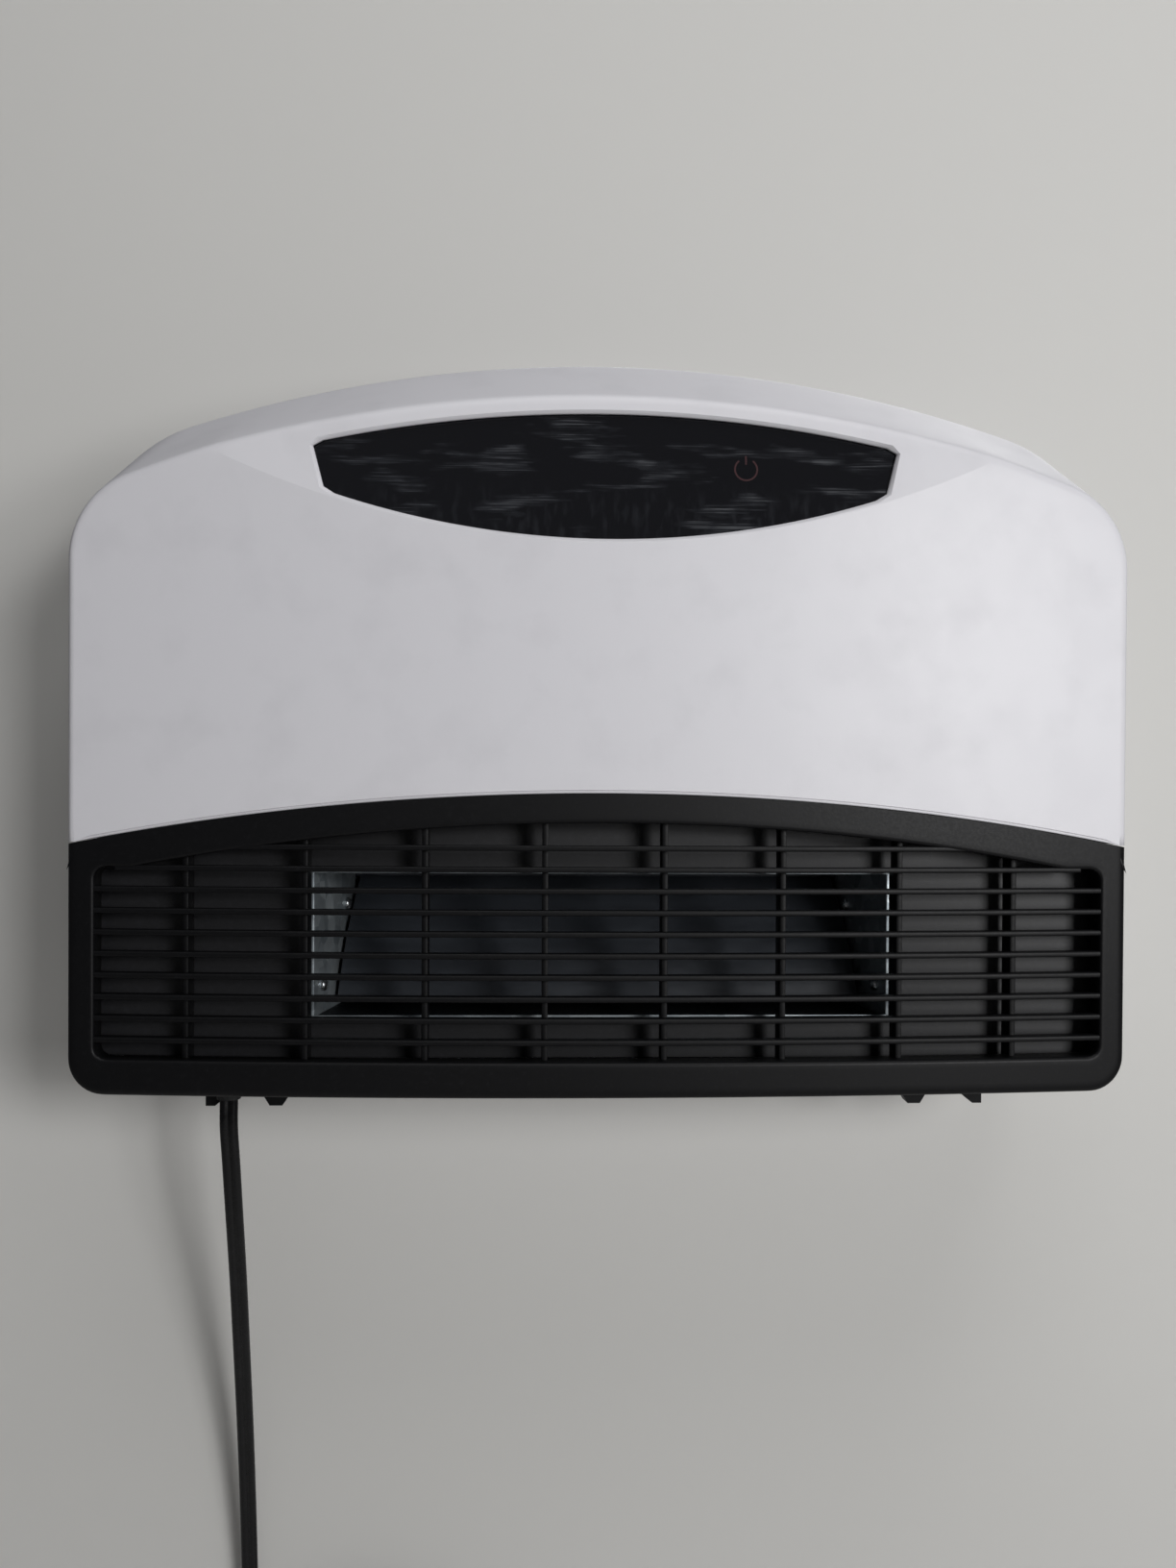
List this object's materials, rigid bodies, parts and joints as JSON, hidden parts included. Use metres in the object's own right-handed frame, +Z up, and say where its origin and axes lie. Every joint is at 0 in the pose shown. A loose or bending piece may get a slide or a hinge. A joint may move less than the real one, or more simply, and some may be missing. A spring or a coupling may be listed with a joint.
{
  "type": "wall-mounted fan heater",
  "caption": "Wall-mounted fan heater with a curved white cover, dark lens-shaped display window, black outlet grille over a cross-flow fan and air flap, stand lugs, coiled cord and plug.",
  "frame": {"origin": "on the flat back, where the heater meets the wall, at mid width; the body's bottom edge is 150 mm below it", "axes": "+Y out of the back into the wall, so the front faces -Y; +X to the viewer's right along the width; +Z up"},
  "size_m": [0.42, 0.12, 0.7282],
  "materials": {
    "white_plastic": "satin moulded",
    "black_plastic": "fine matte",
    "dark_lens": "polished tinted",
    "zinc_sheet": "galvanised",
    "dark_sheet": "black lacquer",
    "flap_plastic": "glossy",
    "sleeve_black": "shrink sleeve",
    "steel": "bright",
    "aluminium": "plain",
    "copper": "enamelled winding",
    "brass": "bright",
    "grey_plastic": "satin",
    "board_green": "lacquered",
    "blue_plastic": "satin",
    "cord_black": "semi-gloss",
    "rubber": "dull"
  },
  "bodies": {
    "housing": {"front_cover": "white_plastic", "rear_housing": "white_plastic", "display_window": "dark_lens", "grille": "black_plastic", "baffle": "black_plastic", "stand_lug_left": "black_plastic", "stand_lug_right": "black_plastic", "duct_side_left": "zinc_sheet", "duct_side_right": "zinc_sheet", "duct_roof": "zinc_sheet", "duct_scroll": "zinc_sheet", "fan_bush": "rubber", "motor_stack": "steel", "motor_coil": "copper", "motor_bracket_inner": "zinc_sheet", "motor_bracket_outer": "zinc_sheet", "motor_bearing_inner": "brass", "motor_bearing_outer": "brass", "heating_element": "aluminium", "heater_end_left": "grey_plastic", "heater_end_right": "grey_plastic", "flap_motor": "steel", "thermal_cutoff": "aluminium", "display_module": "grey_plastic", "display_board": "board_green", "touch_pad": "brass", "remote_receiver": "dark_lens", "power_board": "board_green", "relay_left": "blue_plastic", "relay_right": "blue_plastic", "terminal_block": "grey_plastic", "transformer": "dark_sheet", "capacitor": "sleeve_black", "strain_relief": "rubber", "cord_run": "cord_black", "cord_coil": "cord_black", "cord_tie": "black_plastic", "plug_body": "cord_black", "plug_blade_left": "brass", "plug_blade_right": "brass"},
    "fan": {"fan_wheel": "grey_plastic", "motor_rotor": "steel"},
    "flap": {"air_flap": "flap_plastic"}
  },
  "joints": [
    {"name": "fan_spin", "type": "hinge", "parent": "housing", "child": "fan", "pos_m": [0, -0.03, -0.018], "axis": [1, 0, 0], "continuous": true},
    {"name": "flap_swing", "type": "hinge", "parent": "housing", "child": "flap", "pos_m": [0, -0.041, -0.068], "axis": [-1, 0, 0], "range_deg": [0, 25]}
  ]
}
